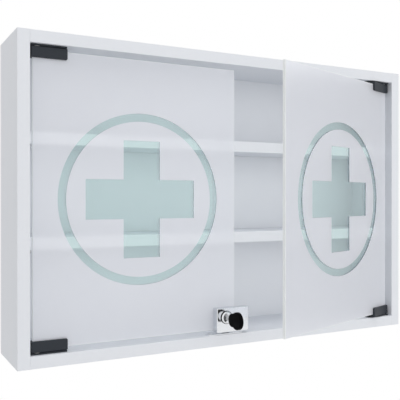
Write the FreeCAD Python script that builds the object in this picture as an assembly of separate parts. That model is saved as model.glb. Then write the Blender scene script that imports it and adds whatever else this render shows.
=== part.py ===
"""Wall-hung medicine cabinet with two frosted glass doors, pivot hinges and a double-door lock.

Frame: millimetres, +Z up, +X to the right when facing the doors, wall face in the plane Y = 0,
doors towards -Y, origin at the centre of the wall face.
"""
import FreeCAD, Part
import math
import os

V = FreeCAD.Vector

# Carcass boards
width = 600.0
height = 400.0
depth = 100.0
board = 15.0
edge_band = 0.8
band_round = 0.5
back_thick = 3.0
back_lap = 7.0
back_play = 0.5

# Shelves
upper_shelf_z = 67.0
lower_shelf_z = -61.0
shelf_thick = 15.0
shelf_setback = 18.0
shelf_play = 0.5
pin_r = 2.5
pin_in = 10.0
pin_out = 8.0
pin_from_edge = 14.0

# Board joints: two cam fittings and a dowel at each corner
dowel_r = 4.0
dowel_in_side = 10.0
dowel_in_panel = 20.0
cam_r = 7.5
cam_deep = 12.5
cam_from_end = 24.0
cam_from_mid = 22.0
cam_slot_r = 3.8
cam_drive = 8.0
cam_drive_w = 1.6
cam_drive_deep = 2.0
cam_bolt_r = 2.5
cam_bolt_head_r = 3.3
cam_bolt_head = 4.0
cam_bolt_in_side = 9.0
cam_bore_r = 3.5
loose_play = 0.05

# Small countersunk screws for the back panel, hanger plates and strike plate
screw_r = 1.5
screw_head_r = 2.8
screw_head = 1.2
screw_len = 12.0
screw_drive = 2.8
screw_drive_w = 0.7
screw_drive_deep = 0.6
back_screws_wide = 4
back_screws_high = 3

# Keyhole hanger plates in the rear edges of the sides
hanger_w = 13.0
hanger_h = 46.0
hanger_thick = 1.5
hanger_drop = 50.0
hanger_play = 0.2
keyhole_r = 4.5
keyhole_slot_r = 2.25
keyhole_rise = 11.0
keyhole_low = 5.0
head_room_w = 10.0
head_room_deep = 8.0
hanger_screw_pitch = 36.0

# Glass doors
glass = 5.0
glass_setback = 8.0
glass_arris = 0.6
side_gap = 4.5
end_gap = 6.0
meeting_gap = 3.0
ajar = 20.0
motif_deep = 1.5
motif_shift = 1.0
ring_r = 110.0
ring_band = 10.0
cross_span = 150.0
cross_arm = 50.0

# Pivot hinges
pivot_inset = 10.0
clip_len = 44.0
clip_wall = 3.0
clip_rear_wall = 2.5
clip_end_wall = 2.0
clip_grip = 10.0
clip_corner = 1.8
clip_round = 0.8
clip_pad = 0.8
clip_screw_first = 17.0
clip_screw_pitch = 16.0
grub_r = 2.0
grub_socket_r = 1.0
grub_socket_deep = 1.2
leaf_thick = 2.0
leaf_short = 0.4
leaf_corner = 1.5
hinge_gap = 0.7
washer_r = 4.0
washer_play = 0.05
hinge_pin_r = 2.0
hinge_pin_play = 0.05
leaf_screw_r = 1.75
leaf_screw_head_r = 3.2
leaf_screw_head = 1.6
leaf_screw_len = 13.0
leaf_screw_drive = 3.4
leaf_screw_first = 18.0
leaf_screw_pitch = 15.0
stop_len = 10.0
stop_thick = 2.0
stop_gap = 0.3
stop_drop = 7.0
stop_from_end = 3.0

# Lock case on the meeting corner of the left door
case_len = 50.0
case_high = 33.4
case_proud = 11.0
case_lap = 16.5
case_drop = 2.5
case_wall = 2.0
case_round = 1.2
lap_clear = 1.5
jaw_thick = 3.0
jaw_high = 27.0
jaw_inset = 3.0
jaw_pad = 0.8
glass_seat_play = 0.2
jaw_screw_pitch = 16.0
jaw_screw_up = 14.0

# Lock cylinder, cam and bolt
axis_from_left = 9.5
axis_from_top = 10.9
barrel_r = 6.2
barrel_shoulder_r = 7.0
barrel_shoulder = 0.6
barrel_collar_r = 8.8
barrel_collar = 4.0
barrel_chamfer = 2.4
barrel_len = 12.0
spigot_r = 6.5
plug_r = 5.0
plug_play = 0.05
plug_proud = 0.3
plug_back = 2.0
lock_cam_r = 5.0
lock_cam_thick = 2.0
crank = 5.66
crank_pin_r = 1.5
crank_arm_r = 2.4
crank_pin_len = 3.6
cam_screw_r = 1.5
cam_screw_in = 1.8
cam_screw_head_r = 2.4
cam_screw_head = 1.3
bolt_w = 10.0
bolt_thick = 3.0
bolt_left_of_pin = 1.0
bolt_cam_gap = 0.8
bolt_play = 0.2
yoke_play = 0.3
yoke_cap = 0.9
yoke_long = 4.9
rib_thick = 2.0
rib_high = 12.0
key_turn = 90.0

# Key
blade_thick = 2.0
blade_high = 7.0
blade_play = 0.15
blade_in = 14.0
blade_tang = 12.0
bit_count = 3
bit_deep = 1.2
bit_pitch = 3.6
head_thick = 5.6
neck_r = 8.9
neck_off = 14.4
neck_drop = 1.1
bow_r = 11.5
bow_off = 24.7
bow_drop = 0.5
head_round = 0.9

# Strike plate on the bottom panel
strike_len = 58.0
strike_w = 12.0
strike_thick = 1.2
strike_from_front = 1.5
strike_screw_inset = 6.0
strike_play = 0.4
strike_spare = 1.4

# Shared places
half_w = width / 2
half_h = height / 2
inner_x = half_w - board
inner_z = half_h - board
front = -depth
left = V(-1, 0, 0)
right = V(1, 0, 0)
up = V(0, 0, 1)
down = V(0, 0, -1)
inward = V(0, 1, 0)
outward = V(0, -1, 0)
centre = V(0, 0, 0)

nodes = {}


def box(x, y, z):
    """Block between two limits along each axis."""
    return Part.makeBox(x[1] - x[0], y[1] - y[0], z[1] - z[0], V(x[0], y[0], z[0]))


def rod(radius, start, along, length):
    """Round bar from a point along a direction."""
    return Part.makeCylinder(radius, length, start, along)


def put(shape, at, along):
    """Copy of a shape made at the origin along +Z, turned to a direction and moved to a point."""
    return shape.transformed(FreeCAD.Placement(at, FreeCAD.Rotation(up, along)).toMatrix())


def flip_x(shape):
    """The same shape on the other side of the cabinet."""
    return shape.mirror(centre, right)


def flip_z(shape):
    """The same shape at the other end of the door."""
    return shape.mirror(centre, up)


def both(shape, flip):
    """A shape and its mirror image."""
    return [shape, flip(shape)]


def cut_all(shape, tools):
    """A shape with each tool taken out of it."""
    for tool in tools:
        shape = shape.cut(tool)
    return shape


def group(shapes):
    """Separate solids that share one node."""
    return Part.makeCompound(shapes)


def cross_recess(span, wide, deep):
    """Cross-shaped drive recess at the origin, sunk along +Z."""
    half = span / 2
    arm = wide / 2
    one = box((-half, half), (-arm, arm), (0, deep))
    other = box((-arm, arm), (-half, half), (0, deep))
    return one.fuse(other)


def screw(head_r, head, shank_r, length, drive):
    """Countersunk screw with its head face at the origin, running along +Z."""
    body = Part.makeCone(head_r, shank_r, head).fuse(Part.makeCylinder(shank_r, length))
    return body.cut(cross_recess(drive, screw_drive_w, screw_drive_deep))


def screw_hole(head_r, head, shank_r, length):
    """Room for a countersunk screw, with a little play round it."""
    cone = Part.makeCone(head_r + loose_play, shank_r + loose_play, head)
    return cone.fuse(Part.makeCylinder(shank_r + loose_play, length + loose_play))


def grub(length):
    """Headless clamp screw at the origin along +Z, with a hexagon socket in its outer end."""
    corners = [V(grub_socket_r * math.cos(math.radians(60 * i)),
                 grub_socket_r * math.sin(math.radians(60 * i)), 0) for i in range(7)]
    socket = Part.Face(Part.makePolygon(corners)).extrude(V(0, 0, grub_socket_deep))
    return Part.makeCylinder(grub_r, length).cut(socket)


small_screw = screw(screw_head_r, screw_head, screw_r, screw_len, screw_drive)
small_hole = screw_hole(screw_head_r, screw_head, screw_r, screw_len)

# Back panel: fits flush in a rebate round the rear of the boards
rebate_x = inner_x + back_lap
rebate_z = inner_z + back_lap
rebate = box((-rebate_x, rebate_x), (-back_thick, 0), (-rebate_z, rebate_z))
back_x = rebate_x - back_play
back_z = rebate_z - back_play
back = box((-back_x, back_x), (-back_thick, 0), (-back_z, back_z))

# Back panel screws: into the side boards and into the top and bottom panel
back_screw_x = inner_x + back_lap / 2
back_screw_z = inner_z + back_lap / 2
wide_step = 2 * inner_x / (back_screws_wide + 1)
high_step = 2 * inner_z / (back_screws_high + 1)
back_screw_at = []
for end in (-1, 1):
    for i in range(1, back_screws_wide + 1):
        back_screw_at.append(V(i * wide_step - inner_x, 0, end * back_screw_z))
    for i in range(1, back_screws_high + 1):
        back_screw_at.append(V(end * back_screw_x, 0, i * high_step - inner_z))
back_holes = [put(small_hole, at, outward) for at in back_screw_at]
nodes["back_panel_screws"] = group([put(small_screw, at, outward) for at in back_screw_at])

# Hanger plates: keyhole plates let in flush, with room behind for the heads of the wall screws
hanger_x = half_w - board / 2
hanger_z = half_h - hanger_drop
keyhole_z = hanger_z - keyhole_low
hanger_half_h = hanger_h / 2


def hanger_block(play, y):
    """Outline of a hanger plate on the right-hand side, with play round it."""
    half = hanger_w / 2 + play
    tall = hanger_half_h + play
    return box((hanger_x - half, hanger_x + half), y, (hanger_z - tall, hanger_z + tall))


hanger_screw_at = [V(hanger_x, 0, hanger_z + end * hanger_screw_pitch / 2) for end in (-1, 1)]
hanger_holes = [put(small_hole, at, outward) for at in hanger_screw_at]
keyhole_top = V(hanger_x, 0, keyhole_z + keyhole_rise)
keyhole = rod(keyhole_r, V(hanger_x, 0, keyhole_z), outward, hanger_thick)
keyhole = keyhole.fuse(rod(keyhole_slot_r, keyhole_top, outward, hanger_thick))
slot_x = (hanger_x - keyhole_slot_r, hanger_x + keyhole_slot_r)
keyhole = keyhole.fuse(box(slot_x, (-hanger_thick, 0), (keyhole_z, keyhole_top.z)))
hanger = cut_all(hanger_block(0, (-hanger_thick, 0)), [keyhole] + hanger_holes)
nodes["hanger_plates"] = group(both(hanger, flip_x))
hanger_screws = [put(small_screw, at, outward) for at in hanger_screw_at]
nodes["hanger_screws"] = group(hanger_screws + [flip_x(s) for s in hanger_screws])
head_room_y = (-hanger_thick - head_room_deep, 0)
head_room_x = (hanger_x - head_room_w / 2, hanger_x + head_room_w / 2)
head_room_z = (keyhole_z - head_room_w / 2, keyhole_top.z + head_room_w / 2)
hanger_cuts = [hanger_block(hanger_play, (-hanger_thick, 0)), box(head_room_x, head_room_y, head_room_z)]
hanger_cuts += hanger_holes
back_notch = hanger_block(back_play, (-back_thick, 0))
nodes["back_panel"] = cut_all(back, back_holes + both(back_notch, flip_x))

# Corner fittings, made for the top right corner
panel_mid_z = half_h - board / 2
body_mid_y = -depth / 2
dowel_from = V(inner_x + dowel_in_side, body_mid_y, panel_mid_z)
dowel_len = dowel_in_side + dowel_in_panel
dowel = rod(dowel_r, dowel_from, left, dowel_len)
dowel_hole = rod(dowel_r + loose_play, dowel_from + right * loose_play, left, dowel_len + 2 * loose_play)
cam_x = inner_x - cam_from_end
cams = []
cam_bolts = []
cam_side_holes = []
cam_panel_holes = []
for end in (-1, 1):
    cam_y = body_mid_y + end * cam_from_mid
    cam_top = V(cam_x, cam_y, half_h)
    bolt_end = V(inner_x + cam_bolt_in_side, cam_y, panel_mid_z)
    eye = V(cam_x, cam_y, panel_mid_z)
    neck = cam_bolt_in_side + cam_from_end
    cam = rod(cam_r - loose_play, cam_top, down, cam_deep - loose_play)
    cam = cam.cut(rod(cam_slot_r, eye + left * cam_bolt_head, right, cam_r + cam_bolt_head))
    cams.append(cam.cut(put(cross_recess(cam_drive, cam_drive_w, cam_drive_deep), cam_top, down)))
    shank = rod(cam_bolt_r, bolt_end, left, neck)
    cam_bolts.append(shank.fuse(rod(cam_bolt_head_r, eye + left * cam_bolt_head / 2, right, cam_bolt_head)))
    side_bore = cam_bolt_in_side + loose_play
    cam_side_holes.append(rod(cam_bolt_r + loose_play, bolt_end + right * loose_play, left, side_bore))
    cam_panel_holes.append(rod(cam_bore_r, V(inner_x, cam_y, panel_mid_z), left, cam_from_end))
    cam_panel_holes.append(rod(cam_r, cam_top, down, cam_deep))


def four_corners(shapes):
    """Shapes made for the top right corner, at all four corners."""
    across = shapes + [flip_x(s) for s in shapes]
    return across + [flip_z(s) for s in across]


nodes["dowels"] = group(four_corners([dowel]))
nodes["cam_discs"] = group(four_corners(cams))
nodes["cam_bolts"] = group(four_corners(cam_bolts))

# Shelves on round pins
shelf_front = front + shelf_setback
shelf_back = -back_thick - shelf_play
shelf_x = inner_x - shelf_play
pin_y = (shelf_front + pin_from_edge, shelf_back - pin_from_edge)
shelf_pins = []
pin_holes = []
for name, z in (("shelf_upper", upper_shelf_z), ("shelf_lower", lower_shelf_z)):
    nodes[name] = box((-shelf_x, shelf_x), (shelf_front + edge_band, shelf_back), (z, z + shelf_thick))
    for y in pin_y:
        root = V(inner_x + pin_in, y, z - pin_r)
        shelf_pins.append(rod(pin_r, root, left, pin_in + pin_out))
        pin_holes.append(rod(pin_r + loose_play, root + right * loose_play, left, pin_in + loose_play))
nodes["shelf_pins"] = group(shelf_pins + [flip_x(s) for s in shelf_pins])


def band(x, y, z):
    """Edge band with its long front edges rounded."""
    strip = box(x, (y, y + edge_band), z)
    size = max(x[1] - x[0], z[1] - z[0])
    long_front = [e for e in strip.Edges if abs(e.Length - size) < 1e-6 and abs(e.CenterOfMass.y - y) < 1e-6]
    return strip.makeFillet(min(band_round, 0.9 * edge_band), long_front)


shelf_span = (-shelf_x, shelf_x)
shelf_levels = (upper_shelf_z, lower_shelf_z)
nodes["shelf_edge_bands"] = group([band(shelf_span, shelf_front, (z, z + shelf_thick)) for z in shelf_levels])
side_band = band((inner_x, half_w), front, (-half_h, half_h))
nodes["side_edge_bands"] = group(both(side_band, flip_x))
cross_band = band((-inner_x, inner_x), front, (inner_z, half_h))
nodes["top_bottom_edge_bands"] = group(both(cross_band, flip_z))

# Side panels
side = box((inner_x, half_w), (front + edge_band, 0), (-half_h, half_h))
side_holes = [dowel_hole] + cam_side_holes
side_cuts = [rebate] + side_holes + [flip_z(s) for s in side_holes] + pin_holes + hanger_cuts + back_holes
nodes["side_panel_right"] = cut_all(side, side_cuts)
nodes["side_panel_left"] = flip_x(nodes["side_panel_right"])

# Places of the left door and its upper hinge
glass_front = front + glass_setback
glass_back = glass_front + glass
pivot_x = -inner_x + pivot_inset
pivot_y = glass_front + glass / 2
glass_left = -inner_x + side_gap
glass_right = -meeting_gap / 2
glass_top = inner_z - end_gap
clip_left = glass_left - clip_end_wall
clip_right = clip_left + clip_len
clip_front = glass_front - clip_wall
clip_back = glass_back + clip_pad + clip_rear_wall
leaf_low = inner_z - leaf_thick
clip_top = leaf_low - hinge_gap
clip_low = glass_top - clip_grip

# Hinge leaf: flat plate on the panel with a rounded free end, and a turned-down stop behind the shut clip
leaf_right = clip_right - leaf_short
leaf = box((clip_left, leaf_right), (clip_front, clip_back), (leaf_low, inner_z))
leaf_tips = [e for e in leaf.Edges if e.CenterOfMass.x > leaf_right - 1e-6 and e.BoundBox.YLength < 1e-6]
leaf = leaf.makeFillet(leaf_corner, leaf_tips)
stop_x = (leaf_right - stop_from_end - stop_len, leaf_right - stop_from_end)
stop_y = (clip_back + stop_gap, clip_back + stop_gap + stop_thick)
leaf = leaf.fuse(box(stop_x, (clip_back, stop_y[1]), (leaf_low, inner_z)))
leaf = leaf.fuse(box(stop_x, stop_y, (leaf_low - stop_drop, inner_z))).removeSplitter()
leaf_screw_at = [V(clip_left + leaf_screw_first + i * leaf_screw_pitch, pivot_y, leaf_low) for i in (0, 1)]
leaf_screw = screw(leaf_screw_head_r, leaf_screw_head, leaf_screw_r, leaf_screw_len, leaf_screw_drive)
leaf_hole = screw_hole(leaf_screw_head_r, leaf_screw_head, leaf_screw_r, leaf_screw_len)
leaf_holes = [put(leaf_hole, at, up) for at in leaf_screw_at]
pin_bottom = glass_top + glass_seat_play
hinge_pin = rod(hinge_pin_r, V(pivot_x, pivot_y, pin_bottom), up, inner_z - pin_bottom)
pin_room = rod(hinge_pin_r + loose_play, V(pivot_x, pivot_y, leaf_low), up, leaf_thick)
leaf = cut_all(leaf, leaf_holes + [pin_room])
washer_z = clip_top + washer_play
washer = rod(washer_r, V(pivot_x, pivot_y, washer_z), up, leaf_low - washer_z)
washer = washer.cut(rod(hinge_pin_r + hinge_pin_play, V(pivot_x, pivot_y, washer_z), up, leaf_low - washer_z))
nodes["hinge_leaf_top_left"] = leaf
nodes["hinge_leaf_bottom_left"] = flip_z(leaf)
nodes["hinge_leaf_top_right"] = flip_x(leaf)
nodes["hinge_leaf_bottom_right"] = flip_z(flip_x(leaf))
leaf_screws = [put(leaf_screw, at, up) for at in leaf_screw_at]
nodes["hinge_leaf_screws"] = group(four_corners(leaf_screws))
nodes["hinge_pins"] = group(four_corners([hinge_pin]))
nodes["hinge_washers"] = group(four_corners([washer]))

# Hinge clip: closed channel over the corner of the glass, clamped by two grub screws on a soft pad
clip = box((clip_left, clip_right), (clip_front, clip_back), (clip_low, clip_top))
low_corners = [e for e in clip.Edges if e.BoundBox.YLength > 1e-6 and e.CenterOfMass.z < glass_top]
clip = clip.makeFillet(clip_corner, low_corners)
sharp = [e for e in clip.Edges if e.BoundBox.YLength < 1e-6 or e.CenterOfMass.z > clip_top - 1e-6]
clip = clip.makeFillet(clip_round, sharp)
pad_back = glass_back + clip_pad
clip = clip.cut(box((glass_left, clip_right), (glass_front, pad_back), (clip_low, glass_top)))
clip = clip.cut(rod(hinge_pin_r + hinge_pin_play, V(pivot_x, pivot_y, glass_top), up, clip_top - glass_top))
grub_z = (clip_low + glass_top) / 2
grub_at = [V(clip_left + clip_screw_first + i * clip_screw_pitch, clip_back, grub_z) for i in (0, 1)]
clip = cut_all(clip, [rod(grub_r + loose_play, at, outward, clip_rear_wall) for at in grub_at])
pad_x = (glass_left + clip_round, clip_right - clip_round)
pad = box(pad_x, (glass_back, pad_back), (clip_low + clip_round, glass_top))
grubs = [put(grub(clip_rear_wall), at, outward) for at in grub_at]

# Door glass: polished edges, ring and cross sunk into the front face
motif_x = (glass_left + glass_right) / 2 + motif_shift
sheet = box((glass_left, glass_right), (glass_front, glass_back), (-glass_top, glass_top))
sheet = sheet.makeChamfer(glass_arris, sheet.Edges)
motif_at = V(motif_x, glass_front, 0)
ring = rod(ring_r, motif_at, inward, motif_deep).cut(rod(ring_r - ring_band, motif_at, inward, motif_deep))
motif_y = (glass_front, glass_front + motif_deep)
arm = (-cross_arm / 2, cross_arm / 2)
span = (-cross_span / 2, cross_span / 2)
post = box((motif_x + arm[0], motif_x + arm[1]), motif_y, span)
bar = box((motif_x + span[0], motif_x + span[1]), motif_y, arm)
sheet = sheet.cut(ring).cut(post.fuse(bar).removeSplitter())


def right_door(shape):
    """A piece of the left door as it sits on the right door, swung ajar."""
    swung = flip_x(shape)
    swung.rotate(V(-pivot_x, pivot_y, 0), up, ajar)
    return swung


nodes["left_door_glass"] = sheet
nodes["right_door_glass"] = right_door(sheet)
nodes["hinge_clip_top_left"] = clip
nodes["hinge_clip_bottom_left"] = flip_z(clip)
nodes["hinge_clip_top_right"] = right_door(clip)
nodes["hinge_clip_bottom_right"] = right_door(flip_z(clip))
door_pads = both(pad, flip_z)
door_grubs = grubs + [flip_z(s) for s in grubs]
nodes["left_clip_pads"] = group(door_pads)
nodes["left_clip_screws"] = group(door_grubs)
nodes["right_clip_pads"] = group([right_door(s) for s in door_pads])
nodes["right_clip_screws"] = group([right_door(s) for s in door_grubs])

# Lock case: hollow front housing that laps over the right door, and a jaw hooked round the glass edge
case_right = glass_right + case_lap
case_left = case_right - case_len
case_low = -glass_top - case_drop
case_top = case_low + case_high
case_front = glass_front - case_proud
lap_back = glass_front - lap_clear
floor_top = -glass_top - glass_seat_play
case = box((case_left, case_right), (case_front, glass_front), (case_low, case_top))
case = case.makeFillet(case_round, [e for e in case.Edges if e.BoundBox.YMin < glass_front - 1e-6])
case = case.cut(box((glass_right, case_right), (lap_back, glass_front), (case_low, case_top)))
cavity_y = (case_front + case_wall, glass_front)
cavity_z = (floor_top, case_top - case_wall)
wall_x = glass_right - case_wall
case = case.cut(box((case_left + case_wall, wall_x), cavity_y, cavity_z))
case = case.cut(box((glass_right, case_right - case_wall), cavity_y, cavity_z))
jaw_x = (case_left + jaw_inset, glass_right - jaw_inset)
jaw_front = glass_back + jaw_pad
jaw_back = jaw_front + jaw_thick
web = box(jaw_x, (glass_front, jaw_back), (case_low, floor_top))
jaw = box(jaw_x, (jaw_front, jaw_back), (case_low, case_low + jaw_high))
case = case.fuse(web).fuse(jaw)

# Lock barrel: turned sleeve seated through the front wall of the case, with a collar at its outer end
axis_x = case_left + axis_from_left
axis_z = case_top - axis_from_top
axis_at = V(axis_x, case_front, axis_z)
bore_r = plug_r + plug_play
collar_low = barrel_len - barrel_collar
profile = [
    (bore_r, -case_wall), (spigot_r, -case_wall), (spigot_r, 0), (barrel_shoulder_r, 0),
    (barrel_shoulder_r, barrel_shoulder), (barrel_r, barrel_shoulder), (barrel_r, collar_low),
    (barrel_collar_r, collar_low), (barrel_collar_r, barrel_len - barrel_chamfer),
    (barrel_collar_r - barrel_chamfer, barrel_len), (bore_r, barrel_len), (bore_r, -case_wall),
]
outline = Part.Face(Part.makePolygon([V(r, 0, t) for r, t in profile]))
barrel = outline.revolve(centre, up, 360)
nodes["lock_barrel"] = put(barrel, axis_at, outward)
spigot_hole = rod(spigot_r + loose_play, axis_at, inward, case_wall)

# Plug and cam: the plug turns in the barrel and the cam's crank pin lifts the bolt
plug_tip = case_front - barrel_len - plug_proud
plug_end = case_front + case_wall + plug_back
plug = rod(plug_r, V(axis_x, plug_tip, axis_z), inward, plug_end - plug_tip)
keyway_x = (axis_x - blade_thick / 2 - blade_play, axis_x + blade_thick / 2 + blade_play)
keyway_z = (axis_z - blade_high / 2 - blade_play, axis_z + blade_high / 2 + blade_play)
plug = plug.cut(box(keyway_x, (plug_tip, plug_tip + blade_in + blade_play), keyway_z))
cam_back = plug_end + lock_cam_thick
cam_screw_at = V(axis_x, cam_back, axis_z)
cam_screw_len = lock_cam_thick + cam_screw_in
plug = plug.cut(rod(cam_screw_r + loose_play, cam_screw_at, outward, cam_screw_len + loose_play))
crank_rise = crank * math.sin(math.radians(key_turn / 2))
crank_side = crank * math.cos(math.radians(key_turn / 2))
crank_at = V(axis_x + crank_side, plug_end, axis_z + crank_rise)
lock_cam = rod(lock_cam_r, V(axis_x, plug_end, axis_z), inward, lock_cam_thick)
lever = box((0, crank), (0, lock_cam_thick), (-crank_arm_r, crank_arm_r))
lever.rotate(centre, V(0, -1, 0), key_turn / 2)
lever.translate(V(axis_x, plug_end, axis_z))
lock_cam = lock_cam.fuse(lever).fuse(rod(crank_arm_r, crank_at, inward, lock_cam_thick))
lock_cam = lock_cam.fuse(rod(crank_pin_r, crank_at, inward, lock_cam_thick + crank_pin_len))
lock_cam = lock_cam.cut(rod(cam_screw_r + loose_play, V(axis_x, plug_end, axis_z), inward, lock_cam_thick))
cam_screw = rod(cam_screw_r, cam_screw_at, outward, cam_screw_len)
cam_screw = cam_screw.fuse(rod(cam_screw_head_r, cam_screw_at, inward, cam_screw_head))
drive_at = V(axis_x, cam_back + cam_screw_head, axis_z)
drive = put(cross_recess(screw_drive, screw_drive_w, screw_drive_deep), drive_at, outward)
nodes["lock_plug"] = plug
nodes["lock_cam"] = lock_cam.removeSplitter()
nodes["lock_cam_screw"] = cam_screw.cut(drive)

# Bolt: flat bar with an open yoke round the crank pin, drawn up into the case
bolt_left = crank_at.x - bolt_left_of_pin
bolt_x = (bolt_left, bolt_left + bolt_w)
bolt_front = cam_back + bolt_cam_gap
bolt_y = (bolt_front, bolt_front + bolt_thick)
yoke_half = crank_pin_r + yoke_play
bolt_z = (case_low + bolt_play, crank_at.z + yoke_half + yoke_cap)
yoke = box((bolt_left, bolt_left + yoke_long), bolt_y, (crank_at.z - yoke_half, crank_at.z + yoke_half))
nodes["lock_bolt"] = box(bolt_x, bolt_y, bolt_z).cut(yoke)
bolt_throw = 2 * crank_rise


def bolt_room(play, z):
    """Slot round the bolt, with play on every side."""
    return box((bolt_x[0] - play, bolt_x[1] + play), (bolt_y[0] - play, bolt_y[1] + play), z)


rib_z = (floor_top - case_wall / 2, floor_top + rib_high)
rib_y = (case_front + case_wall / 2, bolt_y[1])
for rib_x in (bolt_x[0] - bolt_play - rib_thick, bolt_x[1] + bolt_play):
    case = case.fuse(box((rib_x, rib_x + rib_thick), rib_y, rib_z))
jaw_mid = (jaw_x[0] + jaw_x[1]) / 2
jaw_grub_at = [V(jaw_mid + end * jaw_screw_pitch / 2, jaw_back, case_low + jaw_screw_up) for end in (-1, 1)]
jaw_holes = [rod(grub_r + loose_play, at, outward, jaw_thick) for at in jaw_grub_at]
case = cut_all(case, [bolt_room(bolt_play, (case_low, floor_top)), spigot_hole] + jaw_holes)
nodes["lock_case"] = case.removeSplitter()
nodes["lock_clamp_screws"] = group([put(grub(jaw_thick), at, outward) for at in jaw_grub_at])
jaw_top = case_low + jaw_high
nodes["lock_clamp_pad"] = box(jaw_x, (glass_back, jaw_front), (-glass_top, jaw_top))

# Key: flat steel blade in a flat moulded head
blade_x = (axis_x - blade_thick / 2, axis_x + blade_thick / 2)
blade_z = (axis_z - blade_high / 2, axis_z + blade_high / 2)
neck_y = plug_tip - neck_off
head_back = neck_y + neck_r
tang_end = head_back - blade_tang
blade = box(blade_x, (tang_end, plug_tip + blade_in), blade_z)
for i in range(bit_count):
    bit_y = plug_tip + blade_in - (i + 1) * bit_pitch
    corners = [V(blade_x[0], bit_y - bit_deep, blade_z[0]), V(blade_x[0], bit_y + bit_deep, blade_z[0]),
               V(blade_x[0], bit_y, blade_z[0] + bit_deep), V(blade_x[0], bit_y - bit_deep, blade_z[0])]
    blade = blade.cut(Part.Face(Part.makePolygon(corners)).extrude(right * blade_thick))
nodes["key_blade"] = blade
head_from = axis_x - head_thick / 2
bow = rod(bow_r, V(head_from, plug_tip - bow_off, axis_z - bow_drop), right, head_thick)
head_neck = rod(neck_r, V(head_from, neck_y, axis_z - neck_drop), right, head_thick)
head = bow.fuse(head_neck).removeSplitter()
rims = [e for e in head.Edges if abs(e.BoundBox.XLength) < 1e-6]
head = head.makeFillet(head_round, rims)
tang_x = (blade_x[0] - loose_play, blade_x[1] + loose_play)
tang_z = (blade_z[0] - loose_play, blade_z[1] + loose_play)
nodes["key_head"] = head.cut(box(tang_x, (tang_end - loose_play, head_back), tang_z))

# Strike plate: round-ended plate screwed on the bottom panel under the lock
bolt_mid = (bolt_x[0] + bolt_x[1]) / 2
strike_z = (-inner_z, -inner_z + strike_thick)
strike_y = (front + strike_from_front, front + strike_from_front + strike_w)
strike_mid_y = (strike_y[0] + strike_y[1]) / 2
strike_reach = (strike_len - strike_w) / 2
strike = box((bolt_mid - strike_reach, bolt_mid + strike_reach), strike_y, strike_z)
strike_screw_at = []
for end in (-1, 1):
    tip = V(bolt_mid + end * strike_reach, strike_mid_y, strike_z[0])
    strike = strike.fuse(rod(strike_w / 2, tip, up, strike_thick))
    strike_screw_x = bolt_mid + end * (strike_len / 2 - strike_screw_inset)
    strike_screw_at.append(V(strike_screw_x, strike_mid_y, strike_z[1]))
strike = strike.removeSplitter()
strike_holes = [put(small_hole, at, down) for at in strike_screw_at]
bolt_slot = bolt_room(strike_play, (case_low - bolt_throw - strike_spare, strike_z[1]))
nodes["strike_plate"] = cut_all(strike, strike_holes + [bolt_slot])
nodes["strike_screws"] = group([put(small_screw, at, down) for at in strike_screw_at])

# Top and bottom panel
panel = box((-inner_x, inner_x), (front + edge_band, 0), (inner_z, half_h))
corner_holes = [dowel_hole] + cam_panel_holes + [flip_x(s) for s in leaf_holes]
panel_cuts = [rebate] + back_holes + corner_holes + [flip_x(s) for s in corner_holes]
panel = cut_all(panel, panel_cuts)
nodes["top_panel"] = panel
nodes["bottom_panel"] = cut_all(flip_z(panel), strike_holes + [bolt_slot])

os.makedirs("parts", exist_ok=True)
for name, shape in nodes.items():
    shape.exportStep("parts/" + name + ".step")
print(len(nodes), "nodes; bolt throw", round(bolt_throw, 3), "mm; crank pin at", crank_at)
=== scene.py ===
"""Wall-hung medicine cabinet: finishes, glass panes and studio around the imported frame.

Metres, +Z up, wall face in the plane Y = 0, doors towards -Y, origin at the centre of the wall face.
"""
import math

import bpy
import numpy as np
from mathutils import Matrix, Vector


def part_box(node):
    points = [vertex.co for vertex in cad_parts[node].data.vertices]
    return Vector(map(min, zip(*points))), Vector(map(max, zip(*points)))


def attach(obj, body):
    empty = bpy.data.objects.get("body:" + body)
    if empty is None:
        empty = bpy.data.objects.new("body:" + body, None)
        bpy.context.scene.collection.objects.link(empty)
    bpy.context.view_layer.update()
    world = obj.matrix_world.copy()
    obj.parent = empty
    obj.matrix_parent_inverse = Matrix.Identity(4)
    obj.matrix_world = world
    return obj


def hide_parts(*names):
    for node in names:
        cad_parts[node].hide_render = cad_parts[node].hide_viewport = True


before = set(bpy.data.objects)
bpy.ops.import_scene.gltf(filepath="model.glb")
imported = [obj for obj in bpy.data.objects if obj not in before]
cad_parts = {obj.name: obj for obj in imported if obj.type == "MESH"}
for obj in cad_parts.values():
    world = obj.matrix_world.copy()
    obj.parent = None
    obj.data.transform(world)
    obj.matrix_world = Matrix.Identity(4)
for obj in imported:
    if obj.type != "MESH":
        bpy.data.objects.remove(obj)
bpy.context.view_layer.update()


# Carcass boards: sides, top, bottom and two shelves of particle board faced with white melamine.
# The boards are sawn to size, banded in front and drawn together by cam fittings, so only their
# rear edges show the bare chips.
mix_inputs, mix_output = (0, 6, 7), 2  # sockets of a Mix node that mixes colours
facing_wall = 0.5  # least Y of the direction of a face that looks at the wall
rear_edges_from = -0.004  # Y from which such a face is a rear edge


class Wire:
    """A shader socket that does sums: each operator adds one Math node to its finish."""

    def __init__(self, finish, socket):
        self.finish = finish
        self.socket = socket

    def __add__(self, other):
        return self.finish.sum("ADD", self, other)

    def __radd__(self, other):
        return self.finish.sum("ADD", other, self)

    def __sub__(self, other):
        return self.finish.sum("SUBTRACT", self, other)

    def __rsub__(self, other):
        return self.finish.sum("SUBTRACT", other, self)

    def __mul__(self, other):
        return self.finish.sum("MULTIPLY", self, other)

    def __rmul__(self, other):
        return self.finish.sum("MULTIPLY", other, self)

    def __gt__(self, other):
        return self.finish.sum("GREATER_THAN", self, other)

    def __lt__(self, other):
        return self.finish.sum("LESS_THAN", self, other)


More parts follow.
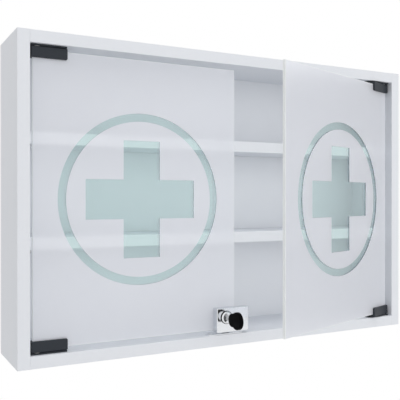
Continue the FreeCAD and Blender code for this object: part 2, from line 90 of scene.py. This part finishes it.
class Finish:
    """The node tree of a material or world, written as expressions."""

    def __init__(self, owner, ending="OutputMaterial"):
        owner.use_nodes = True
        self.owner = owner
        self.ending = ending
        self.tree = owner.node_tree
        self.tree.nodes.clear()

    def node(self, kind, settings, sockets, out=0):
        """Adds a node: its settings first, then the value or the wire of each socket."""
        made = self.tree.nodes.new("ShaderNode" + kind)
        for name, value in settings.items():
            setattr(made, name, value)
        for name, value in sockets.items():
            if isinstance(value, Wire):
                self.tree.links.new(value.socket, made.inputs[name])
            elif made.inputs[name].type == "RGBA":
                made.inputs[name].default_value = (*value, 1.0)
            else:
                made.inputs[name].default_value = value
        return Wire(self, made.outputs[out]) if made.outputs else None

    def sum(self, operation, first, second):
        """One Math node on two values."""
        return self.node("Math", {"operation": operation}, {0: first, 1: second})

    def place(self, kind="Object"):
        """Where a point lies on its piece, or with Normal which way its face looks."""
        return self.node("TexCoord", {}, {}, kind)

    def along(self, axis, kind="Object"):
        """One coordinate of a point's place or of its face's direction."""
        return self.node("SeparateXYZ", {}, {"Vector": self.place(kind)}, axis)

    def cloud(self, pitch, detail=2.0, squeeze=(1.0, 1.0, 1.0)):
        """Noise from 0 to 1 in patches about a pitch wide, in metres; squeezed axes have more."""
        where = self.node("VectorMath", {"operation": "MULTIPLY"}, {0: self.place(), 1: squeeze})
        return self.node("TexNoise", {}, {"Vector": where, "Scale": 1 / pitch, "Detail": detail})

    def cells(self, pitch):
        """Irregular cells about one pitch wide, as the distance from their middles."""
        return self.node("TexVoronoi", {}, {"Vector": self.place(), "Scale": 1 / pitch}, "Distance")

    def spread(self, value, source, target=(0.0, 1.0)):
        """A value in the source range brought to the target range, and held at its ends outside."""
        sockets = {"Value": value, "From Min": source[0], "From Max": source[1]}
        sockets.update({"To Min": target[0], "To Max": target[1]})
        return self.node("MapRange", {}, sockets)

    def tint(self, share, first, second):
        """The first colour where share is 0, the second where it is 1."""
        sockets = dict(zip(mix_inputs, (share, first, second)))
        return self.node("Mix", {"data_type": "RGBA"}, sockets, mix_output)

    def relief(self, height, deep):
        """Normals of a surface that height raises by up to deep metres."""
        return self.node("Bump", {}, {"Height": height, "Distance": deep})

    def coat(self, tone, rough, normal, **constant):
        """The main shader; constants are written with underscores for spaces."""
        sockets = {"Base Color": tone, "Roughness": rough, "Normal": normal}
        sockets.update({name.replace("_", " "): value for name, value in constant.items()})
        return self.node("BsdfPrincipled", {}, sockets)

    def show(self, shader):
        """Ends the tree on a shader and gives back the finished material or world."""
        self.node(self.ending, {}, {"Surface": shader})
        return self.owner


def new_finish(name):
    """The empty node tree of a new material."""
    return Finish(bpy.data.materials.new(name))


def dress(material, *names):
    """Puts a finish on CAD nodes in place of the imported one."""
    for name in names:
        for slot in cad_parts[name].material_slots:
            slot.material = material


def melamine():
    """White film with a faint pearl; bare chips where a face looks at the wall."""
    paint = new_finish("white_melamine")
    bare = (paint.along("Y", "Normal") > facing_wall) * (paint.along("Y") > rear_edges_from)
    film = paint.tint(paint.cloud(0.05, detail=3.0), (0.775, 0.80, 0.848), (0.805, 0.826, 0.868))
    flakes = paint.cloud(0.004, detail=4.0, squeeze=(1.0, 1.0, 2.0))
    splinter = paint.tint(flakes, (0.36, 0.25, 0.15), (0.66, 0.51, 0.34))
    hollow = paint.spread(paint.cells(0.0022), (0.25, 0.75))
    chips = paint.tint(hollow, splinter, (0.17, 0.11, 0.065))
    rough = 0.40 + 0.10 * paint.cloud(0.02) + 0.40 * bare
    pearl = paint.cloud(0.0011, detail=1.0) * (1 - bare)
    torn = 8.0 * bare * paint.cloud(0.0015, detail=3.0)
    grain = paint.relief(pearl + torn, deep=0.00003)
    return paint.show(paint.coat(paint.tint(bare, film, chips), rough, grain, IOR=1.48))


dress(melamine(), "side_panel_left", "side_panel_right", "top_panel", "bottom_panel",
      "shelf_upper", "shelf_lower")


# Edge bands: thin white plastic strip glued on the front edges of the boards and shelves.
# The strip comes off a roll; its sheen varies in small patches and its long edges are rounded over.
def edge_band():
    """White plastic whose tone and sheen vary a little from patch to patch."""
    paint = new_finish("white_edge_band")
    patches = paint.cloud(0.03, detail=3.0, squeeze=(6.0, 1.0, 6.0))
    tone = paint.tint(patches, (0.785, 0.808, 0.852), (0.81, 0.83, 0.87))
    rough = paint.spread(patches, (0.2, 0.8), (0.30, 0.42))
    grain = paint.relief(paint.cloud(0.0016), deep=0.00002)
    return paint.show(paint.coat(tone, rough, grain, IOR=1.5))


dress(edge_band(), "side_edge_bands", "top_bottom_edge_bands", "shelf_edge_bands")


# Back panel: hardboard let into a rebate and screwed all round.
# Its inner face is lacquered white; the outer face keeps the brown fibre and the print of the
# press screen.
fibre_from = -0.0015  # Y of the middle of the panel's thickness
screen_pitch = 0.0021


def hardboard():
    """White lacquer on the inner half of the thickness, fibre with a woven print on the outer."""
    paint = new_finish("hardboard")
    fibre_side = paint.along("Y") > fibre_from
    screen_turns = 2 * math.pi / screen_pitch
    weave = paint.sum("SINE", paint.along("X") * screen_turns, 0.0)
    weave = weave * paint.sum("SINE", paint.along("Z") * screen_turns, 0.0)
    lacquer = paint.tint(paint.cloud(0.04, detail=3.0), (0.80, 0.82, 0.86), (0.825, 0.84, 0.875))
    strands = paint.cloud(0.006, detail=6.0, squeeze=(1.0, 1.0, 1.6))
    fibre = paint.tint(strands, (0.20, 0.115, 0.06), (0.36, 0.235, 0.135))
    rough = 0.38 + 0.10 * paint.cloud(0.015) + 0.40 * fibre_side
    felted = fibre_side * (weave + 2.0 * paint.cloud(0.002, detail=4.0))
    grain = paint.relief(felted + paint.cloud(0.001, detail=1.0), deep=0.00004)
    return paint.show(paint.coat(paint.tint(fibre_side, lacquer, fibre), rough, grain, IOR=1.48))


dress(hardboard(), "back_panel")


# Board fittings: beech dowels, steel cam bolts in die-cast cams, shelf pins, hanger plates and
# countersunk steel screws. They are bought parts: turned, cast, pressed or headed, and bright
# zinc plated where they are steel.
def beech():
    """Pale wood with fine pores drawn out along the dowel."""
    paint = new_finish("beech")
    pores = paint.cloud(0.0008, detail=3.0, squeeze=(0.08, 1.0, 1.0))
    tone = paint.tint(pores, (0.50, 0.33, 0.19), (0.68, 0.49, 0.31))
    return paint.show(paint.coat(tone, 0.55 + 0.2 * pores, paint.relief(pores, deep=0.00005)))


def zinc_plate():
    """Bright plated steel with a cloudy bluish passivation and fine drawing marks."""
    paint = new_finish("zinc_plated_steel")
    cloudy = paint.cloud(0.006, detail=3.0)
    tone = paint.tint(cloudy, (0.60, 0.605, 0.60), (0.68, 0.69, 0.71))
    rough = paint.spread(cloudy, (0.25, 0.75), (0.24, 0.36))
    marks = paint.relief(paint.cloud(0.0007), deep=0.000006)
    return paint.show(paint.coat(tone, rough, marks, Metallic=1.0))


def cast_zinc():
    """Dull grey castings with a fine crystalline skin."""
    paint = new_finish("cast_zinc")
    crystal = paint.cells(0.0012)
    tone = paint.tint(crystal, (0.50, 0.51, 0.52), (0.60, 0.61, 0.62))
    rough = paint.spread(paint.cloud(0.003), (0.3, 0.7), (0.42, 0.56))
    return paint.show(paint.coat(tone, rough, paint.relief(crystal, deep=0.00003), Metallic=1.0))


plated = zinc_plate()
dress(beech(), "dowels")
dress(cast_zinc(), "cam_discs")
dress(plated, "cam_bolts", "back_panel_screws", "hanger_screws", "shelf_pins", "hanger_plates")


# Pivot hinges: a leaf on the panel, a clip over the corner of the glass, a pin and a washer
# between them. Leaf and clip are bent and milled from metal and powder coated black; grub screws
# press a soft pad on the glass.
def powder_black():
    """Black powder coat with a fine satin grain, rubbed a little paler in patches."""
    paint = new_finish("black_powder_coat")
    rubbed = paint.cloud(0.012, detail=3.0)
    tone = paint.tint(rubbed, (0.022, 0.027, 0.0345), (0.030, 0.0355, 0.044))
    rough = paint.spread(rubbed, (0.3, 0.7), (0.40, 0.52))
    grain = paint.relief(paint.cloud(0.0006), deep=0.00003)
    return paint.show(paint.coat(tone, rough, grain, Specular_IOR_Level=0.26))


def nylon():
    """Natural nylon, slightly cloudy."""
    paint = new_finish("natural_nylon")
    cloudy = paint.cloud(0.002)
    tone = paint.tint(cloudy, (0.72, 0.71, 0.67), (0.80, 0.79, 0.75))
    return paint.show(paint.coat(tone, 0.42 + 0.15 * cloudy, paint.relief(cloudy, deep=0.00001)))


def soft_pad():
    """Dark closed-cell pad with fine pores."""
    paint = new_finish("soft_pad")
    pores = paint.cells(0.0005)
    tone = paint.tint(pores, (0.025, 0.025, 0.027), (0.06, 0.06, 0.062))
    return paint.show(paint.coat(tone, 0.75 + 0.15 * pores, paint.relief(pores, deep=0.00006)))


black = powder_black()
for corner in ("top_left", "bottom_left", "top_right", "bottom_right"):
    dress(black, "hinge_leaf_" + corner, "hinge_clip_" + corner)
dress(black, "hinge_leaf_screws", "left_clip_screws", "right_clip_screws")
dress(plated, "hinge_pins")
dress(nylon(), "hinge_washers")
dress(soft_pad(), "left_clip_pads", "right_clip_pads", "lock_clamp_pad")


# Glass doors: one pane of float glass each, satin-etched on the front face and ground all round
# the edge. The ring and the cross are sunk into the etched face and polished clear again, so the
# shelves show sharply there.
motif_x, motif_z = -0.140, 0.0
motif_deep, motif_rim = 0.0015, 0.00015
ring_inner, ring_outer = 0.100, 0.110
cross_half_span, cross_half_arm = 0.075, 0.025
arris = 0.0006
turn_steps, turn_digits = 360, 7
tiny = 1e-9
pivot_x, pivot_y = 0.275, -0.0895
ajar = math.radians(20)


def reach(cosine, sine, left, right, low, high):
    """How far a ray from the motif's centre runs to a rectangle's edge.

    It is the nearer of the two sides that the ray can meet: |side x / cosine| or |side z / sine|.
    """
    across = np.where(cosine > 0, right, left) / np.where(np.abs(cosine) < tiny, tiny, cosine)
    upward = np.where(sine > 0, high, low) / np.where(np.abs(sine) < tiny, tiny, sine)
    return np.minimum(np.abs(across), np.abs(upward))


def pane_mesh(low, high):
    """One closed surface of loops round the motif's centre, each a radius per angle at one depth.

    A point is (centre x + radius * cosine, depth, centre z + radius * sine). From the middle of
    the cross the loops run out over the cross floor, its wall, the etched disc, the ring's groove,
    the etched field, the arris and the edge, and back in over the rear face to its middle.
    """
    left, right = low[0] - motif_x, high[0] - motif_x
    bottom, top = low[2] - motif_z, high[2] - motif_z
    bars = [sign * half for sign in (-1, 1) for half in (cross_half_arm, cross_half_span)]
    corners = [math.atan2(z, x) for z in (bottom, top, *bars) for x in (left, right, *bars)]
    turns = np.append(np.linspace(-math.pi, math.pi, turn_steps, endpoint=False), corners)
    angles = np.unique(np.round(turns, turn_digits))
    cosine, sine = np.cos(angles), np.sin(angles)

    def cross(grow):
        """Outline of the cross: the farther of its two bars."""
        long, short = cross_half_span + grow, cross_half_arm + grow
        return np.maximum(reach(cosine, sine, -long, long, -short, short),
                          reach(cosine, sine, -short, short, -long, long))

    def field(inset):
        """Outline of the pane, drawn in by inset."""
        return reach(cosine, sine, left + inset, right - inset, bottom + inset, top - inset)

    front, back = low[1], high[1]
    sunk, rim = front + motif_deep, front + motif_rim
    circle = np.ones_like(angles)
    loops = [  # radius, depth, and the kind of glass from this loop to the next
        (cross(0), sunk, "wall"),
        (cross(0), rim, "clear"),
        (cross(motif_rim), front, "etched"),
        (circle * (ring_inner - motif_rim), front, "clear"),
        (circle * ring_inner, rim, "wall"),
        (circle * ring_inner, sunk, "clear"),
        (circle * ring_outer, sunk, "wall"),
        (circle * ring_outer, rim, "clear"),
        (circle * (ring_outer + motif_rim), front, "etched"),
        (field(arris), front, "edge"),
        (field(0), front + arris, "edge"),
        (field(0), back - arris, "edge"),
        (field(arris), back, "rear"),
    ]
    radius, depth, bands = zip(*loops)
    count = len(angles)
    x = (motif_x + np.array(radius) * cosine).ravel()
    z = (motif_z + np.array(radius) * sine).ravel()
    rings = np.stack([x, np.repeat(depth, count), z], 1)
    points = np.vstack([rings, [[motif_x, sunk, motif_z], [motif_x, back, motif_z]]])
    middle, rear_middle = len(rings), len(rings) + 1
    step = np.arange(count)
    after = (step + 1) % count
    rows = np.arange(len(loops) - 1)[:, None] * count
    last = (len(loops) - 1) * count
    quads = np.stack([rows + step, rows + count + step, rows + count + after, rows + after], 2)
    inmost = np.stack([np.full(count, middle), step, after], 1)
    rearmost = np.stack([last + step, np.full(count, rear_middle), last + after], 1)
    faces = inmost.tolist() + quads.reshape(-1, 4).tolist() + rearmost.tolist()
    return points, faces, np.repeat(["clear", *bands], count).tolist()


def glass(name, pale, deep, rough, grain, passes, haze):
    """Glass that bends light and keeps a share of haze; lamp and bounced light pass it straight."""
    paint = new_finish(name)
    tone = paint.tint(paint.cloud(0.03, detail=3.0), deep, pale)
    uneven = paint.spread(paint.cloud(0.002, detail=3.0), (0.3, 0.7), rough)
    skin = paint.relief(paint.cloud(0.0005), deep=grain)
    pane = paint.coat(tone, uneven, skin, Transmission_Weight=1 - haze, IOR=1.5)
    straight = paint.node("BsdfTransparent", {}, {"Color": passes})
    for kind in ("Is Diffuse Ray", "Is Shadow Ray"):
        ray = paint.node("LightPath", {}, {}, kind)
        pane = paint.node("MixShader", {}, {0: ray, 1: pane, 2: straight})
    return paint.show(pane)


polished = {"rough": (0.004, 0.016), "grain": 0.0000005, "passes": (0.98, 0.99, 0.99), "haze": 0.0}
glass_kinds = {
    "etched": glass("etched_glass", pale=(0.90, 0.915, 0.965), deep=(0.875, 0.89, 0.945),
                    rough=(0.56, 0.64), grain=0.00001, passes=(0.965, 0.967, 0.972), haze=0.57),
    "clear": glass("clear_glass", pale=(0.61, 0.83, 0.79), deep=(0.58, 0.80, 0.76), **polished),
    "rear": glass("rear_glass", pale=(0.985, 0.993, 0.99), deep=(0.97, 0.98, 0.975), **polished),
    # painted shade: the walls of the ring's groove and of the cross are tinted dark, standing in for
    # the dark lines that refraction gives on polished walls
    "wall": glass("groove_wall_painted_shade_glass", pale=(0.36, 0.46, 0.47), deep=(0.26, 0.36, 0.37),
                  rough=(0.03, 0.08), grain=0.000002, passes=(0.9, 0.94, 0.94), haze=0.0),
    "edge": glass("ground_glass_edge", pale=(0.97, 0.985, 0.985), deep=(0.95, 0.97, 0.97),
                  rough=(0.40, 0.50), grain=0.000004, passes=(0.92, 0.94, 0.94), haze=0.90),
}
glass_order = list(glass_kinds)
pane_low, pane_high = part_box("left_door_glass")
points, faces, kinds = pane_mesh(pane_low, pane_high)
for side in ("left", "right"):
    spots = points.copy()
    if side == "right":
        across, out = -points[:, 0] - pivot_x, points[:, 1] - pivot_y
        spots[:, 0] = pivot_x + across * math.cos(ajar) - out * math.sin(ajar)
        spots[:, 1] = pivot_y + across * math.sin(ajar) + out * math.cos(ajar)
        faces = [face[::-1] for face in faces]
    mesh = bpy.data.meshes.new(side + "_pane")
    mesh.from_pydata(spots.tolist(), [], faces)
    for kind in glass_order:
        mesh.materials.append(glass_kinds[kind])
    mesh.polygons.foreach_set("material_index", [glass_order.index(kind) for kind in kinds])
    mesh.update()
    pane = bpy.data.objects.new(side + "_pane", mesh)
    bpy.context.scene.collection.objects.link(pane)
    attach(pane, side + "_door")
    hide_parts(side + "_door_glass")


# Lock: a hollow case clamped on the corner of the left pane, a turned barrel, and the plug, cam
# and bolt in it. Case, barrel and plug are zinc castings in satin chrome, and the barrel's collar
# is coloured near-black at its rim and rear as painted shade for the shade and dark reflection
# round it; the cam, the bolt and the screws are plated steel.
collar_rear, collar_rim = -0.1108, -0.1133


def chrome(name, polish, painted_shade_collar):
    """Chrome with faint polishing lines and handling marks, and, if asked, painted shade: the
    collar's rim and rear coloured near-black.
    """
    paint = new_finish(name)
    handled = paint.cloud(0.009, detail=4.0)
    tone = paint.tint(handled, (0.755, 0.775, 0.80), (0.80, 0.815, 0.835))
    rough = paint.spread(handled, (0.35, 0.75), polish)
    if painted_shade_collar:
        # painted shade: the band from the collar's rim to its rear is coloured near-black and made
        # rougher, for the shade and dark reflection there
        collar_shade = (paint.along("Y") > collar_rim) * (paint.along("Y") < collar_rear)
        tone = paint.tint(collar_shade, tone, (0.004, 0.004, 0.005))
        rough = rough + 0.4 * collar_shade
    lines = paint.relief(paint.cloud(0.0012, squeeze=(0.15, 1.0, 1.0)), deep=0.000002)
    return paint.show(paint.coat(tone, rough, lines, Metallic=1.0))


satin = chrome("satin_chrome", polish=(0.18, 0.24), painted_shade_collar=False)
dress(satin, "lock_case", "lock_plug")
dress(chrome("collar_chrome_painted_shade", polish=(0.12, 0.18), painted_shade_collar=True), "lock_barrel")
dress(plated, "lock_cam", "lock_cam_screw", "lock_bolt", "lock_clamp_screws")


# Key: a flat milled blade with a flat moulded head.
# The blade is bright plated steel; the head is black plastic with a fine spark-eroded texture.
def moulded_black():
    """Black plastic with a fine even texture, slightly polished where fingers hold it."""
    paint = new_finish("moulded_black")
    held = paint.cloud(0.01)
    tone = paint.tint(held, (0.0015, 0.0015, 0.0018), (0.003, 0.003, 0.0034))
    rough = paint.spread(held, (0.3, 0.7), (0.42, 0.55))
    grain = paint.relief(paint.cells(0.0004), deep=0.00003)
    return paint.show(paint.coat(tone, rough, grain, Specular_IOR_Level=0.03))


dress(moulded_black(), "key_head")
dress(plated, "key_blade")


# Strike plate: a round-ended plate on the bottom panel with a slot for the bolt.
# It is stamped, finished in the same satin chrome and held by two countersunk screws.
dress(satin, "strike_plate")
dress(plated, "strike_screws")


# Studio: a pale floor far below the hung cabinet, white surroundings and large soft lamps.
# The far floor runs out into the white, so only the part under the cabinet shows shade.
white = (1.0, 1.0, 1.0)
hung_height = 1.25
floor_reach = 12.0
fade = (0.9, 2.2)
ambient = 0.61
door_middle, wall_middle = (0.0, -0.1, 0.0), (0.0, 0.0, 0.0)
camera_at = (-0.46071, -0.85740, 0.00109)
camera_dip, camera_turn = 0.137, -27.9  # degrees
film_width, focal_length = 36.0, 57.674  # millimetres


def looked_at(finish):
    """1 for rays that look at the surroundings, straight, mirrored or through glass, else 0."""
    straight, mirrored, through = [finish.node("LightPath", {}, {}, f"Is {kind} Ray")
                                   for kind in ("Camera", "Glossy", "Transmission")]
    return finish.spread(straight + mirrored + through, (0.0, 1.0))


def floor_finish():
    """Pale matt floor, plain white away from the cabinet for the rays that only look at it."""
    paint = new_finish("pale_floor")
    away = paint.node("VectorMath", {"operation": "LENGTH"}, {0: paint.place()}, "Value")
    far = paint.spread(away, fade) * looked_at(paint)
    tone = paint.tint(paint.cloud(0.3, detail=3.0), (0.86, 0.86, 0.86), (0.89, 0.89, 0.89))
    matt = paint.node("BsdfDiffuse", {}, {"Color": tone})
    glow = paint.node("Emission", {}, {"Color": white, "Strength": 1.0})
    return paint.show(paint.node("MixShader", {}, {0: far, 1: matt, 2: glow}))


floor_corners = [(x * floor_reach, y * floor_reach, -hung_height)
                 for x, y in ((-1, -1), (1, -1), (1, 1), (-1, 1))]
floor_mesh = bpy.data.meshes.new("floor")
floor_mesh.from_pydata(floor_corners, [], [(0, 1, 2, 3)])
floor_mesh.materials.append(floor_finish())
floor = bpy.data.objects.new("floor", floor_mesh)
bpy.context.scene.collection.objects.link(floor)

sky = Finish(bpy.data.worlds.new("white_studio"), "OutputWorld")
strength = sky.spread(looked_at(sky), (0.0, 1.0), (ambient, 1.0))
backdrop = sky.node("Background", {}, {"Color": white, "Strength": strength})
bpy.context.scene.world = sky.show(backdrop)


def lamp(name, at, towards, size, watts):
    """A square soft lamp that shines from a point towards another."""
    light = bpy.data.lights.new(name, "AREA")
    light.size = size
    light.energy = watts
    aim = np.subtract(towards, at)
    flat = math.hypot(aim[0], aim[1])
    stand = bpy.data.objects.new(name, light)
    stand.location = at
    stand.rotation_euler = (math.atan2(flat, -aim[2]), 0.0, math.atan2(-aim[0], aim[1]))
    stand.visible_camera = False
    stand.visible_glossy = False
    bpy.context.scene.collection.objects.link(stand)


lamp("left_lamp", at=(-3.0, -2.0, 0.8), towards=door_middle, size=2.6, watts=8.0)
lamp("right_lamp", at=(1.4, -3.2, 0.5), towards=door_middle, size=2.6, watts=26.5)
lamp("top_lamp", at=(0.0, -0.8, 3.0), towards=door_middle, size=1.4, watts=23.0)
lamp("wall_side_lamp", at=(0.9, 2.1, 1.4), towards=wall_middle, size=1.8, watts=10.0)

camera = bpy.data.cameras.new("camera")
camera.sensor_width = film_width
camera.lens = focal_length
tripod = bpy.data.objects.new("camera", camera)
tripod.location = camera_at
tripod.rotation_euler = (math.radians(90 - camera_dip), 0.0, math.radians(camera_turn))
bpy.context.scene.collection.objects.link(tripod)
bpy.context.scene.camera = tripod
bpy.context.scene.view_settings.view_transform = "Standard"
